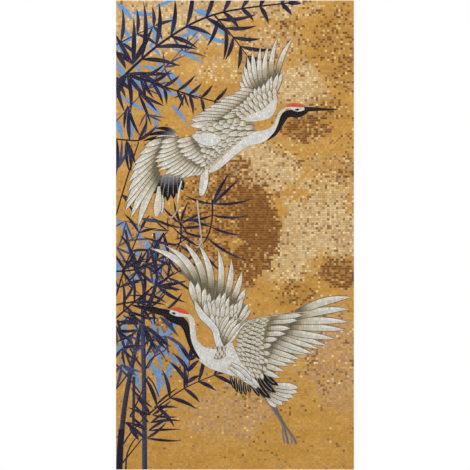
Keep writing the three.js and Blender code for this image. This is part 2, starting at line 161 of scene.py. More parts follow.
def length(curve):
    return sum(hypot(q[0] - p[0], q[1] - p[1]) for p, q in zip(curve, curve[1:]))


def along(curve, shares):
    """The points at these shares of a curve's length."""
    run = [0.0]
    for p, q in zip(curve, curve[1:]):
        run.append(run[-1] + hypot(q[0] - p[0], q[1] - p[1]))
    out, k = [], 0
    for share in shares:
        want = run[-1] * share
        while k < len(run) - 2 and run[k + 1] < want:
            k += 1
        out.append(mix(curve[k], curve[k + 1], (want - run[k]) / ((run[k + 1] - run[k]) or 1.0)))
    return out


def spaced(curve, count):
    return along(curve, [i / max(1, count - 1) for i in range(count)])


def bowed(base, tip, bow):
    """A shallow arc, whose rise is a share of its length."""
    across, up = tip[0] - base[0], tip[1] - base[1]
    mid = (base[0] + across / 2 - up * bow * 2, base[1] + up / 2 + across * bow * 2)
    return [mix(mix(base, mid, t), mix(mid, tip, t), t) for t in (i / STEPS for i in range(STEPS + 1))]


def through(*values):
    """A number that goes through these values at even steps."""
    def at(t):
        f = min(t, 0.9999) * (len(values) - 1)
        k = int(f)
        return values[k] + (values[k + 1] - values[k]) * (f - k)
    return at


def leaf_shape(t):
    return 0.22 + 0.78 * sin(pi / 2 * t / 0.36) if t < 0.36 else cos(pi / 2 * (t - 0.36) / 0.64) ** 0.9


def blade_shape(t):
    rise = 0.6 + 0.4 * min(1.0, t / 0.5)
    return rise if t < 0.55 else rise * max(0.0, 1 - ((t - 0.55) / 0.45) ** 2.6)


def quill_shape(t):
    rise = 0.7 + 0.3 * min(1.0, t / 0.35)
    return rise if t < 0.4 else rise * max(0.0, 1 - ((t - 0.4) / 0.6) ** 2.4)


def scale_shape(t):
    rise = 0.8 + 0.2 * min(1.0, t / 0.4)
    return rise if t < 0.5 else rise * (0.25 + 0.75 * sqrt(max(0.0, 1 - ((t - 0.5) / 0.5) ** 2)))


def oval_shape(t):
    return 0.25 + 0.75 * sqrt(max(0.0, 1 - abs(2 * t - 1) ** 2.4))


def even(t):
    return 1.0


# ------------------------------------------------------------------ laying out tiles
# What is laid first lies in front. Each shape has its tiles, as loop, colour and whether it is a thin strip
# of the dark outline, and the area it covers, which later tiles are nipped round.
layers = []


def glazed(colour, other=None):
    """One colour of glass, or two that run into each other across a shape."""
    return lambda t, u: mix(colour, other or colour, 0.5 + 0.5 * u)


def area(loop):
    return sum(a[0] * b[1] - b[0] * a[1] for a, b in zip(loop, loop[1:] + loop[:1])) / 2


def ribbon(piece, curve, width, shape, colour, across, run, rim=0.0, rim_colour=None):
    """Tiles in rows along a curve. colour is asked with the place along it and across it."""
    parts = max(1, int(round(length(curve) / run)))
    marks = [i / parts for i in range(parts + 1)]
    if shape is not even:
        marks.insert(parts, (parts - TIP) / parts)
    count = len(marks)
    mid = along(curve, marks)
    half = [width(t) / 2 * shape(t) for t in marks]
    side = []
    for i in range(count):
        p, q = mid[max(0, i - 1)], mid[min(count - 1, i + 1)]
        far = hypot(q[0] - p[0], q[1] - p[1]) or 1.0
        side.append((-(q[1] - p[1]) / far, (q[0] - p[0]) / far))

    def edge(i, u):
        return (mid[i][0] + side[i][0] * half[i] * u, mid[i][1] + side[i][1] * half[i] * u)

    def four(i, a, b):
        return [edge(i, b), edge(i, a), edge(i + 1, a), edge(i + 1, b)]

    tiles, cover = [], []
    for i in range(count - 1):
        wide = max(half[i], half[i + 1])
        if wide < SLIVER:
            continue
        cover.append(four(i, -1, 1))
        trim = min(MOST_RIM, rim / wide)
        lanes = across if wide > SINGLE else 1
        lines = [-1 + trim + (2 - 2 * trim) * k / lanes for k in range(lanes + 1)]
        if trim:
            tiles.append((four(i, -1, lines[0]), rim_colour, True))
            tiles.append((four(i, lines[-1], 1), rim_colour, True))
        for a, b in zip(lines, lines[1:]):
            tiles.append((four(i, a, b), colour((marks[i] + marks[i + 1]) / 2, (a + b) / 2), False))
    layers.append((piece, tiles, cover))


def band(piece, points, widths, colour, across, run=ALONG, rim=0.0):
    """A ribbon of plain glass through a few points, with its widths at even steps."""
    ribbon(piece, spline(points), through(*widths), even, colour, across, run, rim, LINE)


def web(piece, near, far, colour, reach=1.0):
    """Plain tiles in rows between two curves."""
    a, b = spline(near), spline(far)
    deep = sum(hypot(p[0] - q[0], p[1] - q[1]) for p, q in zip(spaced(a, 9), spaced(b, 9))) / 9 * reach
    rows = max(1, round(deep / ALONG))
    cols = max(2, round(max(length(a), length(b)) / ALONG)) + 1
    a, b = spaced(a, cols), spaced(b, cols)
    tiles, cover = [], []

    def four(k, f, g):
        return [mix(a[i], b[i], share) for i, share in ((k, f), (k + 1, f), (k + 1, g), (k, g))]

    for r in range(rows):
        for k in range(cols - 1):
            tile = four(k, reach * r / rows, reach * (r + 1) / rows)
            if abs(area(tile)) > 4:
                tiles.append((tile, colour(r / rows, k / cols), False))
    for k in range(cols - 1):
        cover.append(four(k, 0, reach))
    layers.append((piece, tiles, cover))


# ------------------------------------------------------------------ feathers
DEEP = glazed(mix(SMOKE, LINE, 0.35))  # the shadow between feathers


def feather(piece, base, tip, wide, bow, tone, shape=blade_shape, rim=RIM, across=2, shaft=None):
    """One feather: a darker outline and a vane that is shaded from root to tip and along one edge."""
    curve = bowed(base, tip, bow)
    at = TONES[tone]
    shade = 0.0 if tone in ("black", "plume") else 0.16
    if shaft:
        line = along(curve, [k / STEPS for k in range(STEPS - 1)])
        ribbon(piece, line, through(2.4, 2.8, 2.2), even, glazed(shaft), 1, 16.0)
    ribbon(piece, curve, lambda t: wide, shape, lambda t, u: mix(at(t), SMOKE, shade if u < 0 else 0),
           across, VANE, rim, LINE)


def fan(piece, bases, tips, count, wide, bow, tone, shape=blade_shape, flip=False, rim=RIM, under=0.0,
        shaft=None):
    """Feathers side by side between two curves, each over the next, on a darker layer below."""
    roots, ends = spaced(spline(bases), count), spaced(spline(tips), count)
    first, last = bow if isinstance(bow, tuple) else (bow, bow)
    broad, slim = wide if isinstance(wide, tuple) else (wide, wide)
    for k in reversed(range(count)) if flip else range(count):
        f = k / max(1, count - 1)
        stray = STRAY * hypot(ends[k][0] - roots[k][0], ends[k][1] - roots[k][1])
        tip = (ends[k][0] + chance.uniform(-stray, stray), ends[k][1] + chance.uniform(-stray, stray))
        feather(piece, roots[k], tip, broad + (slim - broad) * f, first + (last - first) * f, tone, shape,
                rim, shaft=shaft)
    if under:
        web(piece, bases, tips, DEEP, reach=under)


def scales(piece, near, far, rows, wide):
    """Rows of short round feathers between two curves, laid like scales."""
    a, b = spaced(spline(near), 24), spaced(spline(far), 24)
    for r in range(rows):
        f, g = max(0, (r - 0.4)) / rows, min(1.0, (r + 1.15) / rows)
        base = [mix(p, q, f) for p, q in zip(a, b)]
        tip = [mix(p, q, g) for p, q in zip(a, b)]
        count = max(2, round(length(tip) / (wide * 0.95)))
        ends, roots = spaced(tip, 2 * count + 1), spaced(base, 2 * count + 1)
        for k in range(r % 2, 2 * count + 1, 2):
            tip = (ends[k][0] + chance.uniform(-4, 4), ends[k][1] + chance.uniform(-4, 4))
            feather(piece, roots[k], tip, wide * chance.uniform(0.88, 1.1), 0, "scale", scale_shape, 3.2)
    web(piece, near, far, glazed(SMOKE))


# ------------------------------------------------------------------ bamboo
def leaf(piece, base, angle, size, wide, bow, colour):
    tip = (base[0] + size * cos(angle), base[1] + size * sin(angle))
    pale = mix(colour, SLATE if colour == NAVY else colour, 0.5)
    ribbon(piece, bowed(base, tip, bow), lambda t: wide, leaf_shape,
           lambda t, u: mix(colour, pale, 0.5 + 0.5 * sin(t * 7 + size)), 2, 13.0)


def stem(piece, points, first, last, colour=NAVY, run=16.0):
    ribbon(piece, spline(points), lambda t: first + (last - first) * t, even,
           lambda t, u: mix(colour, BLACK, 0.25 if u > 0 else 0), 2 if first > 16 else 1, run)


def branch(piece, points, wide, count, left, right, size, turn, leaf_wide, start=0.12, colour=NAVY):
    """A stem with leaves in pairs, whose sizes and angles go from the first pair to the last."""
    line = spaced(spline(points), 60)
    stem(piece, points, wide, wide * 0.55, colour)
    for k in range(count):
        f = k / max(1, count - 1)
        i = min(58, int((start + (0.97 - start) * f) * 59))
        p, q = line[i], line[i + 1]
        ahead = atan2(q[1] - p[1], q[0] - p[0])
        big = size[0] + (size[1] - size[0]) * f
        opened = radians(turn[0] + (turn[1] - turn[0]) * f)
        leaf(piece, p, ahead + opened * (1 + 0.16 * sin(3.1 * k)),
             big * left * (1 + 0.18 * sin(2.3 * k + 1)), leaf_wide, -0.06, colour)
        leaf(piece, p, ahead - opened * (1 + 0.16 * sin(2.7 * k + 2)),
             big * right * (1 + 0.18 * sin(1.9 * k)), leaf_wide, 0.06, colour)
    p, q = line[-2], line[-1]
    leaf(piece, q, atan2(q[1] - p[1], q[0] - p[0]) - 0.15, size[1] * 0.9, leaf_wide, 0.03, colour)


def bud(piece, x, z, ahead, spread, count, size, wide, colour=NAVY):
    """Leaves that open from one bud like a hand, each a little its own way."""
    for k in range(count):
        turn = spread * (k / max(1, count - 1) - 0.5) + growth.uniform(-9, 9)
        leaf(piece, (x, z), radians(ahead + turn), size * growth.uniform(0.75, 1.2),
             wide * growth.uniform(0.8, 1.15), growth.uniform(-0.06, 0.06), colour)


def thicket(piece, buds, size, wide, colour=NAVY):
    """Thin leaves that cross each other. Each bud has four, which point about the same way."""
    for k, (x, z, ahead) in enumerate(buds):
        for n, turn in enumerate((-66, -24, 22, 62)):
            leaf(piece, (x, z), radians(ahead + turn + 14 * sin(5 * k + 3 * n)),
                 size * (0.75 + 0.45 * sin(2.1 * k + 1.3 * n) ** 2), wide * (0.85 + 0.3 * sin(k + n) ** 2),
                 0.05 * sin(4 * k + 2 * n), colour)


LIT, SHADED = glazed(IVORY, COOL), glazed(COOL, IVORY)  # white feathers, lit from one side or the other


# ------------------------------------------------------------------ the crane above, flying right
def high_head():
    part = "crane_high_"
    band(part + "crown", [(253, 636), (276, 643), (308, 642), (349, 635)], (9, 18, 20, 17, 6),
         glazed(RED, mix(RED, OCHRE, 0.25)), 2, 9)
    ribbon(part + "eye", [(298, 619), (318, 620)], through(5, 11, 11, 5), even, glazed(BLACK), 1, 9)
    ribbon(part + "beak", [(343, 621), (400, 622), (450, 621), (503, 620)],
           lambda t: 4 + 22 * (1 - t) ** 0.9, even, glazed(BLACK, mix(BLACK, GREY, 0.2)), 2, 12)
    band(part + "cheek", [(249, 628), (272, 629), (298, 622), (322, 622), (350, 633)], (8, 11, 20, 22, 8),
         LIT, 2, 9)
    band(part + "mask",
         [(358, 614), (338, 603), (306, 597), (274, 601), (249, 592), (232, 562), (217, 530), (196, 498),
          (160, 468)], (12, 30, 36, 36, 34, 24, 19, 14, 5), glazed(BLACK, mix(BLACK, SLATE, 0.15)), 3)


def high_body():
    body = "crane_high_body"
    band(body,
         [(251, 624), (231, 608), (220, 586), (210, 558), (194, 530), (168, 506), (132, 488), (88, 476)],
         (10, 20, 24, 26, 32, 48, 62, 60), SHADED, 4)
    band(body, [(100, 476), (56, 460), (16, 430), (-24, 396), (-60, 362), (-98, 330), (-128, 312)],
         (54, 44, 38, 36, 34, 28, 12), LIT, 3)
    ribbon(body, spline([(-70, 472), (-130, 472), (-178, 480), (-214, 496)]), through(58, 72, 60, 26),
           oval_shape, LIT, 5, 12, 3.0, SMOKE)
    scales(body, [(18, 566), (62, 546), (106, 514), (88, 486), (40, 456), (-20, 418), (-80, 366)],
           [(-112, 550), (-166, 530), (-194, 500), (-176, 452), (-164, 400), (-146, 360), (-140, 330)], 7,
           33)


def high_raised_wing():
    wing = "crane_high_raised_wing"
    band(wing, [(28, 566), (80, 578), (126, 589), (160, 604), (184, 634), (205, 676)],
         (8, 32, 46, 56, 42, 12), SHADED, 5)
    fan(wing, [(60, 574), (120, 590), (160, 616), (202, 664)],
        [(20, 592), (78, 630), (128, 662), (196, 694)], 8, 27, 0.02, "scale", scale_shape)
    fan(wing, [(44, 584), (100, 616), (150, 646), (200, 676)],
        [(2, 608), (52, 652), (104, 694), (194, 726)], 9, 27, 0.02, "scale", under=0.7)
    fan(wing, [(14, 596), (66, 632), (120, 656), (196, 680)],
        [(-62, 580), (-22, 612), (22, 646), (58, 680), (92, 722), (136, 748), (180, 780), (233, 808)], 15,
        26, 0.02, "covert", under=0.7)
    fan(wing, [(-70, 560), (-34, 586), (20, 628), (66, 672), (104, 712)],
        [(-226, 538), (-219, 572), (-190, 600), (-162, 620), (-134, 638), (-100, 655), (-68, 675),
         (-32, 690), (20, 720)], 12, (38, 32), (0.03, 0.05), "long", under=0.8)
    for base, tip in (((206, 752), (288, 976)), ((188, 736), (215, 985)), ((160, 718), (168, 944))):
        feather(wing, base, tip, 28, 0.08, "flight", quill_shape)
    fan(wing, [(138, 706), (90, 690)], [(133, 928), (91, 920), (62, 876), (40, 826), (18, 762)], 6,
        (29, 35), (0.05, 0.04), "flight", quill_shape, under=0.4)
    web(wing, [(200, 740), (170, 718), (136, 704)], [(262, 960), (210, 980), (133, 928)], DEEP, reach=0.36)
    web("crane_high_body", [(-70, 572), (0, 590), (70, 604)], [(-100, 540), (0, 536), (100, 536)],
        glazed(SMOKE))


def high_lowered_wing():
    wing = "crane_high_lowered_wing"
    fan(wing, [(-198, 486), (-168, 428), (-118, 392), (-78, 368)],
        [(-294, 458), (-278, 412), (-236, 376), (-190, 346), (-128, 318)], 10, 29, 0.03, "covert",
        under=0.85)
    fan(wing, [(-276, 482), (-240, 424), (-200, 378), (-150, 338)],
        [(-364, 458), (-382, 418), (-400, 368), (-384, 322), (-330, 296), (-262, 282), (-196, 296)], 14, 29,
        0.03, "covert", under=0.85)
    fan(wing, [(-352, 470), (-376, 412), (-384, 350), (-372, 298)],
        [(-448, 440), (-497, 354), (-527, 262), (-540, 188), (-540, 120), (-516, 78), (-487, 24)], 10,
        (34, 40), (-0.02, -0.05), "long", quill_shape, under=0.7)
    ribbon(wing, bowed((-376, 240), (-389, 92), 0.02), through(16, 28, 40, 44, 18), even,
           glazed(IVORY, WARM), 3, VANE, RIM, LINE)
    ribbon(wing, bowed((-362, 196), (-361, 103), 0.0), through(16, 26, 24, 8), even, glazed(COOL), 2,
           VANE, RIM, LINE)
    feather(wing, (-264, 268), (-284, 150), 10, -0.03, "white", rim=0, across=1)


def high_plumes_and_legs():
    part = "crane_high_"
    fan(part + "plumes_below", [(-374, 296), (-330, 298), (-270, 294)],
        [(-398, 204), (-368, 158), (-322, 168), (-288, 184), (-258, 222)], 7, 32, (0.02, -0.03), "plume",
        rim=0, shaft=SHAFT)
    plumes = part + "plumes_above"
    for base, tip, bow in (((-286, 500), (-398, 526), -0.10), ((-290, 492), (-446, 486), -0.10),
                           ((-316, 480), (-458, 464), -0.05), ((-336, 466), (-454, 442), -0.03)):
        feather(plumes, base, tip, 21, bow, "plume", leaf_shape, 0)
        feather(plumes, (base[0], base[1] - 8), (tip[0] + 50, tip[1] - 6), 6, bow, "white", rim=0, across=1)
    leg, hide = part + "leg", mix(GREY, IVORY, 0.5)
    feather(leg, (-148, 334), (-168, 194), 46, 0.03, "white", scale_shape)
    stem(leg, [(-187, 172), (-181, 110), (-173, 45), (-167, -10), (-172, -50), (-190, -64)], 8, 5, hide)
    stem(leg, [(-169, -30), (-160, -46), (-170, -62)], 5, 4, hide)
    stem(leg, [(-172, -44), (-190, -46), (-204, -34)], 5, 4, hide)
    stem(leg, [(-284, 150), (-292, 112), (-322, 72)], 6, 4, hide)
    stem(leg, [(-292, 108), (-306, 90), (-326, 92)], 5, 4, hide)


# ------------------------------------------------------------------ the crane below, flying left
def low_head():
    part = "crane_low_"
    band(part + "crown", [(-320, -363), (-292, -367), (-262, -375), (-228, -391)], (5, 18, 25, 20, 6),
         glazed(RED, mix(RED, OCHRE, 0.2)), 2, 9)
    ribbon(part + "eye", [(-311, -384), (-293, -390)], through(5, 11, 11, 5), even, glazed(BLACK), 1, 9)
    ribbon(part + "beak", spline([(-326, -390), (-400, -372), (-455, -360), (-510, -346)]),
           lambda t: 4 + 36 * (1 - t) ** 0.7, even, glazed(BLACK, mix(BLACK, GREY, 0.15)), 3, 12)
    band(part + "cheek", [(-336, -366), (-316, -381), (-290, -389), (-258, -395), (-224, -398)],
         (6, 20, 24, 18, 16), SHADED, 2, 9)
    band(part + "mask",
         [(-346, -392), (-318, -408), (-284, -420), (-256, -434), (-240, -464), (-232, -502), (-221, -540),
          (-204, -576), (-176, -614)], (30, 42, 46, 40, 28, 21, 18, 16, 6),
         glazed(BLACK, mix(BLACK, SLATE, 0.15)), 3)


def low_body():
    body = "crane_low_body"
    band(body,
         [(-230, -396), (-213, -425), (-209, -465), (-205, -505), (-188, -545), (-156, -582), (-104, -606)],
         (18, 28, 27, 28, 42, 66, 86), LIT, 4)
    scales(body, [(-120, -556), (-86, -552), (-54, -552)], [(-112, -606), (-84, -616), (-56, -606)], 3, 22)
    for base, tip in (((-34, -652), (56, -722)), ((-20, -634), (86, -722)), ((-4, -690), (96, -748)),
                      ((16, -668), (126, -758))):
        feather(body, base, tip, 27, 0.05, "white", rim=2.2)
    band(body, [(-22, -532), (-24, -562), (-16, -606), (10, -650)], (20, 50, 62, 50), LIT, 4)
    band(body, [(-168, -592), (-112, -622), (-50, -640), (8, -664), (58, -702), (112, -752)],
         (56, 80, 86, 74, 54, 22), SHADED, 6)
    web(body, [(-150, -556), (-100, -552), (-44, -548)], [(-140, -600), (-90, -600), (-30, -590)], SHADED)


def low_spread_wing():
    wing = "crane_low_spread_wing"
    band(wing,
         [(-50, -552), (-16, -520), (8, -486), (36, -450), (72, -426), (124, -409), (200, -398),
          (372, -378)], (8, 18, 11, 6, 6, 6, 6, 4), LIT, 1, 12, 1.8)
    scales(wing, [(62, -428), (28, -474), (8, -528), (4, -572), (16, -622)],
           [(176, -410), (152, -462), (142, -530), (142, -600), (136, -664), (112, -716)], 6, 25)
    fan(wing, [(176, -414), (148, -452), (132, -506), (128, -556), (128, -612), (110, -668)],
        [(340, -398), (298, -434), (260, -476), (214, -510), (184, -540), (172, -590), (162, -650),
         (142, -714)], 10, (31, 27), 0.02, "covert", under=0.85)
    fan(wing, [(300, -388), (284, -414), (252, -448), (226, -474)],
        [(582, -298), (578, -362), (560, -456), (500, -518)], 5, (42, 36), (0.06, 0.0), "long", quill_shape,
        under=0.45)
    fan(wing, [(214, -474), (190, -506), (160, -546), (140, -596), (112, -656)],
        [(462, -546), (398, -586), (330, -618), (272, -648), (226, -704)], 9, 30, (0.0, -0.02), "long",
        quill_shape, under=0.7)


def low_raised_wing():
    wing = "crane_low_raised_wing"
    band(wing,
         [(-199, -322), (-184, -362), (-158, -402), (-122, -438), (-96, -474), (-88, -512), (-74, -552)],
         (8, 30, 40, 38, 36, 36, 40), SHADED, 3, 11, 2.2)
    fan(wing, [(-82, -500), (-74, -530), (-60, -548), (-46, -552)],
        [(-40, -392), (-6, -392), (20, -404), (32, -424)], 5, 27, 0.05, "covert", flip=True, under=0.9)
    fan(wing, [(-96, -476), (-84, -510), (-72, -540)], [(-112, -388), (-80, -400), (-50, -412)], 4, 27,
        0.03, "covert", scale_shape, under=0.9)
    fan(wing, [(-128, -440), (-100, -470), (-64, -470), (-20, -470)],
        [(-150, -330), (-112, -316), (-86, -346), (-52, -330), (-22, -356), (12, -380)], 8, 28, 0.02,
        "covert", under=0.7)
    fan(wing, [(-186, -352), (-150, -392), (-112, -424), (-70, -430), (-30, -428), (4, -444)],
        [(-222, -226), (-178, -236), (-134, -276), (-98, -318), (-58, -268), (-26, -308), (2, -350),
         (36, -300), (64, -330)], 12, (36, 27), (0.03, -0.03), "covert", under=0.8)
    fan(wing, [(14, -450), (22, -466)], [(82, -366), (48, -420)], 2, 24, 0.0, "covert")
    fan(wing, [(-196, -262), (-158, -300), (-108, -330), (-52, -346), (4, -356)],
        [(-432, -60), (-318, -46), (-232, -38), (-158, -41), (-98, -68), (-42, -102), (20, -150),
         (52, -262)], 8, (38, 34), (-0.15, -0.03), "flight", quill_shape, flip=True, under=0.42)


def low_plumes_and_legs():
    part = "crane_low_"
    for base, tip in (((134, -650), (216, -744)), ((120, -666), (204, -780)), ((104, -684), (178, -808))):
        feather(part + "plumes_behind", base, tip, 29, -0.12, "black", rim=0, shaft=SHAFT)
    fan(part + "plumes_under", [(-22, -698), (24, -716), (66, -740)], [(-2, -762), (38, -794), (76, -782)],
        5, 19, -0.03, "black", rim=0, shaft=SHAFT)
    fan(part + "plumes_behind", [(78, -742), (112, -752)], [(122, -800), (146, -806)], 2, 22, 0.05, "black",
        rim=0, shaft=SHAFT)
    fan(part + "tail", [(164, -742), (148, -790)],
        [(318, -752), (314, -786), (290, -806), (260, -826), (206, -852)], 6, 38, 0.02, "long", under=0.6)
    leg, hide = part + "leg", hexed("7b7474")
    stem(leg, [(140, -792), (182, -850), (212, -896), (240, -946), (252, -990), (262, -1034)], 17, 11, hide,
         9)
    stem(leg, [(186, -800), (206, -868), (236, -926), (262, -966), (286, -1000), (304, -1034)], 17, 11,
         hide, 9)
    stem(leg, [(236, -946), (238, -990), (244, -1030)], 10, 8, hide, 9)
    stem(leg, [(264, -962), (280, -1002), (280, -1032)], 10, 8, hide, 9)


# ------------------------------------------------------------------ the bamboo at the top left
def high_bamboo():
    piece = "bamboo_above"
    # the long branch across the top, the twig that hangs from it, and the branch that runs out below
    branch(piece, [(-540, 795), (-400, 922), (-240, 1030), (-100, 1090), (50, 1121), (258, 1146)], 13, 9,
           1.15, 0.9, (220, 80), (46, 64), 22)
    branch(piece, [(-105, 1090), (-20, 992), (66, 878)], 8, 5, 1.15, 1.0, (145, 125), (56, 44), 20)
    branch(piece, [(-520, 792), (-330, 726), (-180, 681), (-88, 657)], 10, 7, 1.0, 0.9, (125, 85), (50, 64),
           17)
    # leaves all round the foot of the branches, and along the panel's edge
    bud(piece, -505, 846, 92, 60, 3, 215, 24)
    bud(piece, -535, 798, -66, 150, 6, 165, 22)
    bud(piece, -588, 780, -62, 40, 3, 150, 22)
    bud(piece, -470, 800, -34, 50, 3, 180, 22)
    bud(piece, -588, 905, -56, 24, 2, 120, 24)
    bud(piece, -478, 704, -50, 44, 3, 160, 18)
    bud(piece, -530, 640, -84, 20, 2, 150, 16)
    branch(piece, [(-588, 940), (-500, 985), (-396, 1034)], 7, 3, 1.0, 0.8, (150, 110), (60, 70), 18,
           colour=mix(NAVY, SLATE, 0.5))
    stem(piece, [(-588, 474), (-520, 468), (-476, 466)], 7, 8)
    bud(piece, -478, 466, 52, 30, 2, 150, 18)
    bud(piece, -520, 468, 96, 10, 1, 150, 20)
    bud(piece, -536, 466, -76, 24, 3, 165, 19)
    bud(piece, -586, 478, -80, 10, 1, 240, 22)
    stem(piece, [(-476, 460), (-540, 260), (-588, 96)], 6, 7)
    bud(piece, -560, 200, -50, 30, 2, 110, 12)
    # slate twigs and leaves further back
    stem(piece, [(-590, 560), (-440, 720), (-340, 830), (-190, 1000)], 6, 4, DUSK)
    thicket(piece, ((-430, 720, 40), (-350, 830, 20), (-250, 905, 60), (-440, 600, 300)), 105, 10, DUSK)
    bud(piece, -576, 330, 72, 30, 2, 140, 13, DUSK)
    thicket(piece, ((-250, 700, 270),), 85, 10)


# ------------------------------------------------------------------ the bamboo from between the cranes down
def low_bamboo():
    piece = "bamboo_below"
    # two twigs under the upper crane, with leaves to both sides
    branch(piece, [(-113, 176), (-112, 92), (-126, 18), (-150, -32), (-176, -66)], 9, 5, 1.1, 0.85,
           (170, 185), (96, 84), 13, 0.1)
    bud(piece, -112, 150, 46, 20, 2, 195, 18)
    branch(piece, [(-268, 60), (-268, -20), (-286, -64), (-330, -120)], 8, 3, 0.85, 1.1, (150, 140),
           (98, 80), 13)
    bud(piece, -270, 55, 88, 110, 4, 140, 14)
    bud(piece, -352, 12, -92, 36, 2, 160, 17)
    bud(piece, -470, 82, -5, 0, 1, 122, 18, SLATE)
    # the thicket between the cranes
    culm = mix(NAVY, SLATE, 0.4)
    stem(piece, [(-420, -62), (-402, -130), (-386, -200), (-394, -262), (-420, -350)], 15, 13, culm)
    for points, count, size in (([(-588, -410), (-499, -333), (-382, -240), (-262, -172)], 6, 145),
                                ([(-588, -300), (-540, -150), (-470, 20)], 4, 125),
                                ([(-588, -180), (-480, -168), (-380, -120)], 4, 115),
                                ([(-588, -345), (-499, -333), (-420, -352), (-335, -374)], 4, 125)):
        branch(piece, points, 9, count, 1.0, 1.0, (size, size * 0.85), (52, 60), 14)
    bud(piece, -386, -250, 0, 64, 4, 155, 17)
    bud(piece, -480, -168, 60, 200, 5, 110, 15)
    thicket(piece, ((-540, -240, 30), (-440, -300, 190), (-440, -130, 250)), 125, 8)
    thicket(piece, ((-588, -60, -40), (-420, -150, -70), (-350, -100, -80), (-310, -240, 180)), 135, 10,
            DUSK)
    thicket(piece, ((-330, 20, 160), (-230, -10, 200)), 95, 8)
    thicket(piece, ((-540, 70, -85), (-400, -20, -95)), 135, 9, DUSK)
    # buds on the culms, level with the lower crane's head
    bud(piece, -446, -448, -62, 46, 3, 130, 18)
    bud(piece, -450, -440, 165, 50, 4, 140, 18)
    bud(piece, -462, -410, 15, 24, 2, 100, 12)
    bud(piece, -372, -404, -40, 0, 1, 158, 22, SLATE)
    thicket(piece, ((-588, -470, -20), (-480, -470, 200), (-560, -560, -60), (-400, -500, -80)), 110, 13)
    thicket(piece, ((-520, -500, -90), (-420, -520, -60), (-340, -500, -100), (-560, -640, -70)), 110, 15,
            DUSK)
    # the branch that rises to the lower crane's breast, and a twig on it
    branch(piece, [(-420, -880), (-340, -818), (-236, -750), (-92, -688)], 8, 5, 1.1, 0.9, (145, 120),
           (76, 50), 19)
    branch(piece, [(-238, -748), (-228, -650), (-224, -616)], 7, 3, 1.0, 0.6, (125, 115), (46, 44), 21)
    # leaves at the foot of the culms
    for k in range(5):
        bud(piece, -400 - 9 * k, -852 - 38 * k, 14, 34, 2, 150, 13)
        bud(piece, -410 - 9 * k, -852 - 38 * k, 148, 30, 1 + k % 2, 130, 17)
    bud(piece, -522, -944, -56, 0, 1, 90, 20)
    for points in ([(-560, -1048), (-520, -984), (-444, -900)],
                   [(-562, -1134), (-510, -1070), (-460, -1008)],
                   [(-540, -1158), (-532, -1080), (-500, -1016), (-462, -980)],
                   [(-430, -700), (-400, -740), (-376, -800)], [(-588, -760), (-540, -700), (-480, -600)],
                   [(-520, -900), (-480, -820), (-430, -700)], [(-440, -660), (-410, -610), (-330, -560)]):
        stem(piece, points, 8, 5, mix(NAVY, SLATE, 0.3))
    # the culms
    stem(piece, [(-560, -960), (-567, -1050), (-572, -1158)], 30, 32, NAVY)
    stem(piece, [(-456, -394), (-452, -600), (-449, -800), (-446, -1158)], 21, 25, SLATE)
    stem(piece, [(-462, -436), (-504, -620), (-550, -880), (-571, -1158)], 18, 29, mix(SLATE, NAVY, 0.25))
    for points, first, last in (([(-500, -700), (-500, -820), (-504, -972)], 15, 13),
                                ([(-580, -420), (-545, -560), (-500, -690)], 13, 12),
                                ([(-588, -640), (-530, -700), (-470, -780)], 9, 8),
                                ([(-520, -560), (-470, -640), (-436, -664)], 9, 12),
                                ([(-400, 10), (-391, -109), (-394, -244), (-455, -400)], 12, 12),
                                ([(-542, 26), (-500, -147), (-452, -250), (-458, -394)], 12, 18),
                                ([(-588, -450), (-560, -520), (-540, -560), (-500, -480)], 10, 10),
                                ([(-432, -660), (-400, -600), (-372, -540), (-330, -500)], 6, 5)):
        stem(piece, points, first, last, mix(SLATE, NAVY, 0.4))


GOLDEN = 0.618  # the share that strews leaves evenly, with no two in line


def blue_leaves():
    """Pale blue leaves of the ground, strewn where the bamboo is thick."""
    for x, z, wide, tall, ahead, count in ((-350, 1050, 250, 100, -50, 14), (-430, 760, 165, 190, -45, 18),
                                           (-460, -80, 130, 170, -84, 14), (-420, -520, 170, 150, -84, 20)):
        for k in range(count):
            place = (x + wide * (2 * (k * GOLDEN % 1) - 1), z + tall * (2 * (k + 0.5) / count - 1))
            leaf("ground", place, radians(ahead + growth.gauss(0, 30)), growth.uniform(90, 170),
                 growth.uniform(16, 28), growth.uniform(-0.05, 0.05), BLUE)


# ------------------------------------------------------------------ the gold ground
PALE_PLACES = [  # centre, half width and half height, and how much of the glass there is pale
    (-380, 1065, 330, 165, 0.85), (130, 1125, 230, 60, 0.8), (190, 960, 130, 90, 0.6),
    (-90, 815, 120, 70, 0.45), (330, 740, 110, 110, 0.95), (140, 345, 170, 115, 1.0),
    (420, 40, 190, 170, 1.0), (270, -120, 130, 110, 0.85), (-30, -910, 190, 100, 0.2),
    (470, 240, 150, 50, 0.6), (300, 470, 60, 40, 0.4), (340, -560, 90, 110, 0.35),
]
BROWN_PLACES = [
    (350, 528, 120, 62, 0.7), (120, 30, 100, 130, 1.2), (40, 190, 130, 110, 0.85),
    (-20, 300, 100, 70, 0.65), (56, -128, 100, 95, 0.85), (-120, 50, 170, 190, 0.55),
    (520, -190, 100, 70, 0.75), (310, -300, 80, 60, 0.4), (545, 790, 60, 80, 0.4),
    (-150, 210, 100, 120, 0.5), (480, 610, 90, 60, 0.4), (-370, -470, 60, 60, 0.6),
    (-330, -640, 60, 80, 0.25), (560, 300, 60, 40, 0.4), (250, 1000, 90, 60, 0.3),
    (500, 980, 110, 160, 0.3), (420, 640, 60, 60, 0.35),
]
ROSE_PLACES = [
    (500, -620, 120, 230, 0.75), (430, -420, 100, 70, 0.5), (470, 350, 120, 50, 0.45),
    (560, -20, 60, 60, 0.5), (-30, -880, 200, 110, 0.6),
]


def cloudy(x, z, seed):
    return noise.noise(Vector((x, z, seed)))


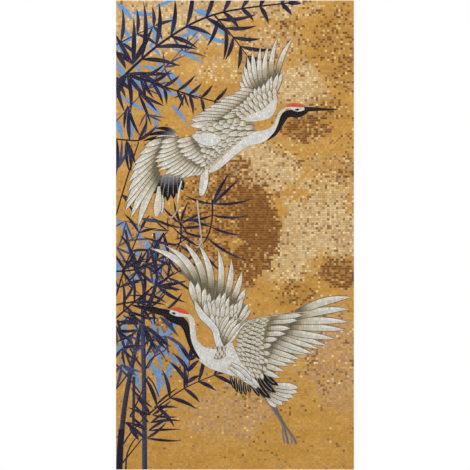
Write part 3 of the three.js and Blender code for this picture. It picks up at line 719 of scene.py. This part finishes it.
def amount(places, x, z, seed):
    """How much of a tint belongs here: areas with ragged edges that run out into single tiles."""
    drift = (0.42 * cloudy(x / 110, z / 70, seed) + 0.3 * cloudy(x / 40, z / 26, seed + 5)
             + 0.2 * cloudy(x / 17, z / 12, seed + 9))
    most = 0.0
    for cx, cz, wide, tall, strength in places:
        far = hypot((x - cx) / wide, (z - cz) / tall) + drift
        most = max(most, strength * min(1.0, max(0.0, (1.3 - far) / 0.45)))
    return min(1.0, most)


PALE_GLASS = [hexed("ceb387"), hexed("c6a87a"), hexed("d5bd93"), hexed("bb9b6c")]
BROWN_GLASS = [hexed("6c3f0e"), hexed("784813"), hexed("663c0e"), hexed("83531c")]
ROSE_GLASS = [hexed("b88e66"), hexed("c29d78"), hexed("a5815f"), hexed("bd965f")]
DARK_GLASS = [hexed("6d4722"), hexed("8a6238"), hexed("7c5a44")]
QUIET = -760  # below this height hardly a tile is bright, and a little lower few are dark
FEW_DARK = -900


def ground_glass(x, z):
    """The glass of one ground tile: ochre, with pale, brown and rose areas that mix at their edges."""
    pale = amount(PALE_PLACES, x, z, 3.7)
    brown = amount(BROWN_PLACES, x, z, 8.1)
    rose = amount(ROSE_PLACES, x, z, 1.3)
    pick, turn, fleck = chance.random(), chance.random(), chance.random()
    wave = 0.5 + 0.6 * cloudy(x / 160, z / 60, 6.2) + 0.35 * cloudy(x / 90, z / 12, 2.2)
    glass = mix(GOLD, OCHRE, round(4 * min(1.0, max(0.0, wave + chance.gauss(0, 0.12)))) / 4)
    mixed = max(4 * part * (1 - part) for part in (pale, brown, rose))
    bright = 1.0 if z > QUIET else 0.2
    glass = mix(glass, PALE_GLASS[int(pick * 4)], 0.9 if turn < pale ** 2 * bright else 0.7 * pale)
    glass = mix(glass, ROSE_GLASS[int(pick * 4)], 0.8 if chance.random() < rose else 0.4 * rose)
    glass = mix(glass, BROWN_GLASS[int(pick * 4)], 0.9 if chance.random() < brown ** 1.5 else 0.5 * brown)
    dotted = max(0.0, 0.35 + 1.3 * cloudy(x / 60, z / 45, 5.5)) * max(0.0, min(1.0, (x + 250) / 400))
    if z < FEW_DARK:
        dotted *= 0.3
    dotted *= 1 - 0.8 * brown
    if fleck < 0.006 + 0.02 * pale + 0.11 * dotted + 0.14 * mixed * dotted:
        glass = mix(DARK_GLASS[int(pick * 3)], glass, 0.25)
    elif fleck > 1 - (0.006 + 0.03 * pale + 0.05 * mixed + 0.03 * brown) * bright:
        glass = mix(SPARK, glass, 0.3 + 0.2 * brown)
    return glass


def ground():
    slack = (JOINT - CUT_JOINT) / 2
    for row in range(ROWS):
        tiles = []
        for column in range(COLUMNS):
            x, z = -HALF_WIDTH + column * TILE, -HALF_HEIGHT + row * TILE
            far_x, far_z = min(x + TILE, HALF_WIDTH), min(z + TILE, HALF_HEIGHT)
            under, over = z + slack * (row > 0), far_z - slack * (row < ROWS - 1)
            loop = [(x, under), (far_x, under), (far_x, over), (x, over)]
            tiles.append((loop, ground_glass(x + TILE / 2, z + TILE / 2), False))
        layers.append((("ground_low", "ground_middle", "ground_high")[row * 3 // ROWS], tiles, []))


# ------------------------------------------------------------------ nipping tiles to shape
def split(loop, a, b):
    """The parts of a convex outline to the left and to the right of the line from a to b."""
    across, up = b[0] - a[0], b[1] - a[1]
    size = hypot(across, up) or 1.0
    side = [(across * (p[1] - a[1]) - up * (p[0] - a[0])) / size for p in loop]
    if min(side) >= -0.01:
        return loop, None
    if max(side) <= 0.01:
        return None, loop
    left, right = [], []
    for k, p in enumerate(loop):
        s, t = side[k], side[(k + 1) % len(loop)]
        if s >= 0:
            left.append(p)
        if s <= 0:
            right.append(p)
        if s * t < 0:
            q = loop[(k + 1) % len(loop)]
            cut = (p[0] + (q[0] - p[0]) * s / (s - t), p[1] + (q[1] - p[1]) * s / (s - t))
            left.append(cut)
            right.append(cut)
    return left, right


def nipped(loop, cover):
    """What is left of a tile once a shape lies over part of it, in convex parts."""
    box = box_of(loop)
    sides = list(zip(cover, cover[1:] + cover[:1]))
    if len(sides) == 4 and abs(area(cover)) > 1:
        sides.sort(key=lambda s: -hypot(s[1][0] - s[0][0], s[1][1] - s[0][1]))
    rest, off = loop, []
    for a, b in sides:
        if hypot(b[0] - a[0], b[1] - a[1]) < 0.01:
            continue
        rest, out = split(rest, a, b)
        if rest is None:
            return [loop]
        if out:
            off.append(out)
    return off


def box_of(loop):
    xs, zs = [p[0] for p in loop], [p[1] for p in loop]
    return min(xs), min(zs), max(xs), max(zs)


def drawn_in(loop, by):
    """A convex outline with every side moved inwards, to leave the joint."""
    rest = loop
    for a, b in zip(loop, loop[1:] + loop[:1]):
        size = hypot(b[0] - a[0], b[1] - a[1])
        if size < 0.02:
            continue
        off = (-(b[1] - a[1]) / size * by, (b[0] - a[0]) / size * by)
        rest = split(rest, (a[0] + off[0], a[1] + off[1]), (b[0] + off[0], b[1] + off[1]))[0]
        if rest is None:
            return None
    return rest


def cleaned(loop):
    """The outline without points that lie almost on top of each other."""
    out = [p for p, q in zip(loop, loop[1:] + loop[:1]) if hypot(q[0] - p[0], q[1] - p[1]) > 0.15]
    return out if len(out) > 2 else None


EDGE = 0.1  # shapes end this far inside the panel's edge
SIDE, END = HALF_WIDTH - EDGE, HALF_HEIGHT - EDGE
CORNERS = [(-SIDE, -END), (SIDE, -END), (SIDE, END), (-SIDE, END)]
FRAME_SIDES = list(zip(CORNERS, CORNERS[1:] + CORNERS[:1]))


def turned(loop):
    """The loop with its points anticlockwise."""
    return loop[::-1] if area(loop) < 0 else loop


def framed(loop):
    """What lies inside the panel's edge."""
    box = box_of(loop)
    if box[0] < -HALF_WIDTH or box[2] > HALF_WIDTH or box[1] < -HALF_HEIGHT or box[3] > HALF_HEIGHT:
        for a, b in FRAME_SIDES:
            loop = loop and split(loop, a, b)[0]
    return loop


def apart(one, other):
    return one[0] >= other[2] or one[2] <= other[0] or one[1] >= other[3] or one[3] <= other[1]


CELL = 24.0  # the covers are looked up by squares of this size


def cells_of(box):
    for i in range(int(box[0] // CELL), int(box[2] // CELL) + 1):
        for j in range(int(box[1] // CELL), int(box[3] // CELL) + 1):
            yield i, j


PALE_FROM = 1.15  # glass whose red, green and blue add up to more is pale


def grouted(part, colour, outline):
    """The tile with half a joint off all round, or nothing if too little is left."""
    gap = (CUT_JOINT if sum(colour) > PALE_FROM else CLOSE_JOINT) / 2
    part = cleaned(part)
    part = part and drawn_in(part, gap)
    part = part and cleaned(part)
    least, thin = (SMALLEST * 0.4, THINNEST * 0.7) if outline else (SMALLEST, THINNEST)
    return part if part and area(part) > least and drawn_in(part, thin) else None


def cut_tiles():
    """All tiles of each piece of the picture, nipped round what lies in front of them."""
    covers, cut, count = {}, {}, 0
    for piece, tiles, cover in layers:
        kept = cut.setdefault(piece, [])
        for loop, colour, outline in tiles:
            loop = framed(turned(loop))
            if not loop:
                continue
            box = box_of(loop)
            parts, met = [loop], set()
            for cell in cells_of(box):
                for n, over, lid in covers.get(cell, ()):
                    if parts and n not in met:
                        met.add(n)
                        if not apart(over, box):
                            parts = [p for part in parts for p in nipped(part, lid) if area(p) > SMALLEST]
            for part in parts:
                tile = grouted(part, colour, outline)
                if tile:
                    kept.append((tile, colour, outline))
        for lid in cover:
            lid = turned(lid)
            if area(lid) > 0.5:
                box = box_of(lid)
                count += 1
                for cell in cells_of(box):
                    covers.setdefault(cell, []).append((count, box, lid))
    return cut


# ------------------------------------------------------------------ making the pieces
def pick_out(ob, wanted):
    """Selects these faces of an object's mesh and nothing else."""
    bpy.ops.object.select_all(action="DESELECT")
    ob.select_set(True)
    bpy.context.view_layer.objects.active = ob
    mesh = ob.data
    mesh.vertices.foreach_set("select", np.zeros(len(mesh.vertices), bool))
    mesh.edges.foreach_set("select", np.zeros(len(mesh.edges), bool))
    mesh.polygons.foreach_set("select", wanted)


def numbers(items, name, width, kind=np.float32):
    """One property of all items, in rows of this width."""
    found = np.empty(len(items) * width, kind)
    items.foreach_get(name, found)
    return found.reshape(-1, width) if width > 1 else found


CHAMFER = 0.55  # how deep the worn edge of a tile is
WORN = 0.45  # and how wide
SET_BACK = 0.5  # how far the strips of the dark outlines stand back
SHRUG = 0.3  # how unevenly hand-set tiles sit
STEEPEST = 0.02  # the most that a tile leans
BACK_SHARE = 0.55  # how much of a tile's outline its back takes up in the map


def set_tiles(name, tiles, nodes, material):
    """One piece of the picture: tiles cut flat, thickened with Solidify and worn at the edge by inset."""
    points, faces, colours, middles, square = [], [], [], [], []
    for loop, colour, outline in sorted(tiles, key=lambda tile: tile[2]):
        x = sum(p[0] for p in loop) / len(loop)
        z = sum(p[1] for p in loop) / len(loop)
        lean, tip, sunk = chance.uniform(-1, 1), chance.uniform(-1, 1), chance.uniform(0, SHRUG)
        base = FRONT + (SET_BACK if outline else CHAMFER) + sunk
        reach = max(hypot(p[0] - x, p[1] - z) for p in loop)
        slope = min(STEEPEST, sunk / max(reach, 1) / 1.5)
        faces.append(range(len(points), len(points) + len(loop)))
        for px, pz in loop:
            points.append((px * MM, (base + slope * (lean * (px - x) + tip * (pz - z))) * MM, pz * MM))
        shade = chance.gauss(1.0, 0.035)
        warmth = chance.gauss(0.0, 0.008)
        colours.append((colour[0] * shade + warmth, colour[1] * shade, colour[2] * shade - warmth))
        middles.append((x * MM, 0, z * MM))
        square.append(not outline)
    mesh = bpy.data.meshes.new(name)
    mesh.from_pydata(points, [], faces)
    ob = bpy.data.objects.new(name, mesh)
    bpy.context.scene.collection.objects.link(ob)
    glass = np.concatenate([linear(colours), np.ones((len(colours), 1))], 1)
    for title, kind, field, values in (("glass", "FLOAT_COLOR", "color", glass.astype(np.float32)),
                                       ("middle", "FLOAT_VECTOR", "vector", np.asarray(middles, np.float32)),
                                       ("square", "INT", "value", np.asarray(square, np.int32))):
        mesh.attributes.new(title, kind, "FACE").data.foreach_set(field, values.ravel())
    mesh.update()

    pick_out(ob, np.zeros(len(mesh.polygons), bool))
    thick = ob.modifiers.new("thickness", "SOLIDIFY")
    thick.thickness = GLASS * MM
    thick.offset = -1
    bpy.ops.object.modifier_apply(modifier=thick.name)

    facing = numbers(mesh.polygons, "normal", 3)[:, 1] < -0.9
    chamfered = numbers(mesh.attributes["square"].data, "value", 1, np.int32) == 1
    bpy.context.tool_settings.mesh_select_mode = (False, False, True)
    pick_out(ob, facing & chamfered)
    bpy.ops.object.mode_set(mode="EDIT")
    bpy.ops.mesh.inset(use_even_offset=True, thickness=WORN * MM, depth=CHAMFER * MM, use_individual=True)
    bpy.ops.object.mode_set(mode="OBJECT")

    # The map lies flat on the picture. A tile's back is drawn in, so that its sides have some width in it.
    corner = numbers(mesh.loops, "vertex_index", 1, np.int32)
    place = numbers(mesh.vertices, "co", 3)[corner]
    face = np.repeat(np.arange(len(mesh.polygons)), numbers(mesh.polygons, "loop_total", 1, np.int32))
    middle = numbers(mesh.attributes["middle"].data, "vector", 3)[face]
    behind = (place[:, 1] > (FRONT + 3) * MM)[:, None]
    place = np.where(behind, middle + (place - middle) * BACK_SHARE, place)
    span = np.ptp(place, axis=0).max()
    flat = (place[:, (0, 2)] - place[:, (0, 2)].min(0)) / span
    mesh.uv_layers.new(name="OFBake").uv.foreach_set("vector", flat.astype(np.float32).ravel())
    for spent in ("middle", "square"):
        mesh.attributes.remove(mesh.attributes[spent])
    mesh.materials.append(material)
    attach(ob, "root")
    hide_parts(*nodes)


# ------------------------------------------------------------------ materials
def wire(made, **links):
    """Sets a node's sockets to values, or links them to other nodes or their sockets."""
    for key, value in links.items():
        socket = made.inputs[key.replace("_", " ")]
        if isinstance(value, bpy.types.Node):
            value = value.outputs[0]
        if isinstance(value, bpy.types.NodeSocket):
            made.id_data.links.new(value, socket)
        else:
            socket.default_value = value


def node(tree, kind, settings=None, **links):
    """Adds a shader node with its settings, and with values or links for its sockets."""
    made = tree.nodes.new(kind)
    for key, value in (settings or {}).items():
        if key == "stops":
            for stop, (place, code) in zip(made.color_ramp.elements, value):
                stop.position = place
                stop.color = (*linear(hexed(code)), 1)
        else:
            setattr(made, key, value)
    wire(made, **links)
    return made


def new_material(name):
    material = bpy.data.materials.new(name)
    material.use_nodes = True
    tree = material.node_tree
    tree.nodes.clear()
    surface = node(tree, "ShaderNodeBsdfPrincipled")
    node(tree, "ShaderNodeOutputMaterial", Surface=surface)
    return material, tree, surface, node(tree, "ShaderNodeTexCoord").outputs["Object"]


# The sizes of the patterns, in millimetres.
CLOUD = 7  # the clouds inside the glass
PEEL = 3  # the orange-peel on top of it
BLOTCH = 80  # patches of the grout that dried darker or paler
GRAIN = 0.8  # the sand in the grout
CEMENT = 250  # patches of the cement coat
THREAD = 5  # from one thread of the glass-fibre mesh to the next
RELIEF = 0.3  # how high all these stand


def glass_material(name, rough, clouds, gloss):
    """Vitreous glass mosaic: pressed opaque glass, a little cloudy, satin on top with a fine orange-peel."""
    material, tree, surface, place = new_material(name)
    tint = node(tree, "ShaderNodeAttribute", {"attribute_name": "glass"})
    cloud = node(tree, "ShaderNodeTexNoise", Vector=place, Scale=1 / (CLOUD * MM), Detail=3, Roughness=0.6)
    depth = node(tree, "ShaderNodeMapRange", Value=cloud, From_Min=0.3, From_Max=0.7, To_Min=1 - clouds,
                 To_Max=1 + clouds)
    glass = node(tree, "ShaderNodeVectorMath", {"operation": "SCALE"}, Vector=tint, Scale=depth)
    satin = node(tree, "ShaderNodeMapRange", Value=cloud, From_Min=0.3, From_Max=0.7, To_Min=rough - 0.06,
                 To_Max=rough + 0.08)
    peel = node(tree, "ShaderNodeTexNoise", Vector=place, Scale=1 / (PEEL * MM), Detail=2)
    raised = node(tree, "ShaderNodeBump", Strength=0.25, Distance=RELIEF * MM, Height=peel)
    wire(surface, Base_Color=glass, Roughness=satin, Normal=raised, IOR=1.52, Specular_IOR_Level=gloss)
    return material


def grout_material():
    """Sanded cement grout: matt, grainy and a little blotchy where it dried unevenly."""
    material, tree, surface, place = new_material("sanded_cement_grout")
    blotch = node(tree, "ShaderNodeTexNoise", Vector=place, Scale=1 / (BLOTCH * MM), Detail=4)
    dried = node(tree, "ShaderNodeValToRGB", {"stops": ((0.35, "a98a5c"), (0.65, "bb9c6c"))}, Fac=blotch)
    sand = node(tree, "ShaderNodeTexNoise", Vector=place, Scale=1 / (GRAIN * MM), Detail=2)
    raised = node(tree, "ShaderNodeBump", Strength=0.5, Distance=RELIEF * MM, Height=sand)
    wire(surface, Base_Color=dried, Normal=raised, Roughness=0.92)
    return material


def board_material():
    """Cement-coated tile backer board: grey and matt, with its glass-fibre mesh showing through."""
    material, tree, surface, place = new_material("cement_backer_board")
    patch = node(tree, "ShaderNodeTexNoise", Vector=place, Scale=1 / (CEMENT * MM), Detail=9, Roughness=0.62)
    cement = node(tree, "ShaderNodeValToRGB", {"stops": ((0.3, "8d8b85"), (0.7, "a9a69e"))}, Fac=patch)
    mesh = node(tree, "ShaderNodeMath", {"operation": "MAXIMUM"})
    for way, socket in zip("XZ", mesh.inputs):
        threads = node(tree, "ShaderNodeTexWave", {"bands_direction": way, "wave_profile": "SIN"},
                       Vector=place, Scale=2 * pi / (20 * THREAD * MM), Distortion=0.3)
        tree.links.new(threads.outputs[1], socket)
    shows = node(tree, "ShaderNodeMapRange", Value=mesh, From_Min=0.6, From_Max=1.0, To_Min=0.96,
                 To_Max=1.02)
    coat = node(tree, "ShaderNodeVectorMath", {"operation": "SCALE"}, Vector=cement, Scale=shows)
    raised = node(tree, "ShaderNodeBump", Strength=0.4, Distance=RELIEF * MM, Height=mesh)
    wire(surface, Base_Color=coat, Normal=raised, Roughness=0.95)
    return material


# ------------------------------------------------------------------ the panel
high_head()
high_body()
high_raised_wing()
high_lowered_wing()
high_plumes_and_legs()
low_head()
low_body()
low_spread_wing()
low_raised_wing()
low_plumes_and_legs()
high_bamboo()
low_bamboo()
blue_leaves()
ground()

SLOT_OF = {"body": "ivory_glass", "cheek": "ivory_glass", "wing": "ivory_glass", "tail": "ivory_glass",
           "crown": "red_glass", "eye": "black_glass", "beak": "black_glass", "mask": "black_glass",
           "plumes": "black_glass", "leg": "grey_glass", "bamboo": "navy_glass", "ground": "ochre_glass"}
GLASSES = {colour + "_glass": glass_material("vitreous_glass_" + colour, rough, clouds, gloss)
           for colour, rough, clouds, gloss in (
               ("ochre", 0.36, 0.07, 0.4), ("ivory", 0.34, 0.05, 0.4), ("black", 0.42, 0.15, 0.2),
               ("red", 0.36, 0.08, 0.4), ("grey", 0.40, 0.10, 0.3), ("navy", 0.42, 0.12, 0.2))}

for piece, tiles in cut_tiles().items():
    slot = next(value for key, value in SLOT_OF.items() if key in piece)
    name = piece if piece.startswith("ground_") else piece.replace("ground", "ground_blue_leaves") + "_tiles"
    set_tiles(name, tiles, ["ground" if piece.startswith("ground") else piece], GLASSES[slot])


def slab(name, lowest, highest, edge, material, node_name):
    """A flat board or bed between two corners, in millimetres, with its edges a little worn."""
    bpy.ops.object.select_all(action="DESELECT")
    bpy.ops.mesh.primitive_cube_add(size=1)
    ob = bpy.context.object
    ob.name = ob.data.name = name
    ob.dimensions = [(b - a) * MM for a, b in zip(lowest, highest)]
    ob.location = [(a + b) / 2 * MM for a, b in zip(lowest, highest)]
    bpy.ops.object.transform_apply(location=True, rotation=True, scale=True)
    worn = ob.modifiers.new("worn_edges", "BEVEL")
    worn.width = edge * MM
    worn.segments = 2
    bpy.ops.object.modifier_apply(modifier=worn.name)
    ob.data.materials.append(material)
    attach(ob, "root")
    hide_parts(node_name)


board_low, board_high = [[v / MM for v in corner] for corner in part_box("backing_board")]
slab("backer_board", board_low, board_high, 1.0, board_material(), "backing_board")
BED_FRONT = FRONT + 1.1
WIPED = 0.5  # how far the grout stands back from the tiles round the panel's edge
slab("grout_bed", (-HALF_WIDTH + WIPED, BED_FRONT, -HALF_HEIGHT + WIPED),
     (HALF_WIDTH - WIPED, board_low[1], HALF_HEIGHT - WIPED), 0.8, grout_material(), "ground")

# ------------------------------------------------------------------ floor, light and camera
bpy.ops.object.select_all(action="DESELECT")
bpy.ops.mesh.primitive_plane_add(size=9, location=(0, 0, low.z - 0.5))
floor = bpy.context.object
floor.name = "studio_floor"
# Matt pale floor paint, a little uneven.
pale, tree, surface, place = new_material("pale_studio_floor")
uneven = node(tree, "ShaderNodeTexNoise", Vector=place, Scale=3, Detail=2)
paint = node(tree, "ShaderNodeValToRGB", {"stops": ((0, "d9d7d2"), (1, "e2e0dc"))}, Fac=uneven)
wire(surface, Base_Color=paint, Roughness=0.8)
floor.data.materials.append(pale)

scene = bpy.context.scene
world = bpy.data.worlds.new("studio")
world.use_nodes = True
scene.world = world
sky = world.node_tree
sky.nodes.clear()
soft = node(sky, "ShaderNodeBackground", Color=(*linear(hexed("dfe3ea")), 1), Strength=0.30)
plain = node(sky, "ShaderNodeBackground", Color=(1, 1, 1, 1), Strength=1.0)
either = node(sky, "ShaderNodeMixShader")
for part, socket in zip((node(sky, "ShaderNodeLightPath").outputs["Is Camera Ray"], soft.outputs[0],
                         plain.outputs[0]), either.inputs):
    sky.links.new(part, socket)
node(sky, "ShaderNodeOutputWorld", Surface=either)


def softbox(name, place, target, size, watts, colour):
    lamp = bpy.data.lights.new(name, "AREA")
    lamp.shape = "RECTANGLE"
    lamp.size, lamp.size_y = size
    lamp.energy = watts
    lamp.color = linear(hexed(colour))
    ob = bpy.data.objects.new(name, lamp)
    ob.location = place
    ob.rotation_euler = (Vector(target) - Vector(place)).to_track_quat("-Z", "Y").to_euler()
    scene.collection.objects.link(ob)


softbox("key_softbox", (-3.4, -3.6, 2.6), (0, 0, 0.1), (2.4, 3.2), 222, "fffaf2")
softbox("fill_softbox", (3.6, -3.8, 1.2), (0, 0, -0.1), (2.4, 3.2), 155, "f6f9ff")
softbox("back_softbox", (1.5, 4.5, 2.5), (0, 0, 0), (3, 2), 160, "ffffff")

LENS, SENSOR = 200, 36
ROOM = 1.00127823  # the height of the frame, with the panel's height as 1
SEEN = ROOM * HEIGHT * MM
camera_data = bpy.data.cameras.new("camera")
camera_data.lens, camera_data.sensor_width = LENS, SENSOR
camera_data.clip_end = 60
camera = bpy.data.objects.new("camera", camera_data)
camera.location = (0, FRONT * MM - SEEN * LENS / SENSOR, 0.0)
camera.rotation_euler = (pi / 2, 0, 0)
scene.collection.objects.link(camera)
scene.camera = camera
scene.view_settings.view_transform = "Standard"
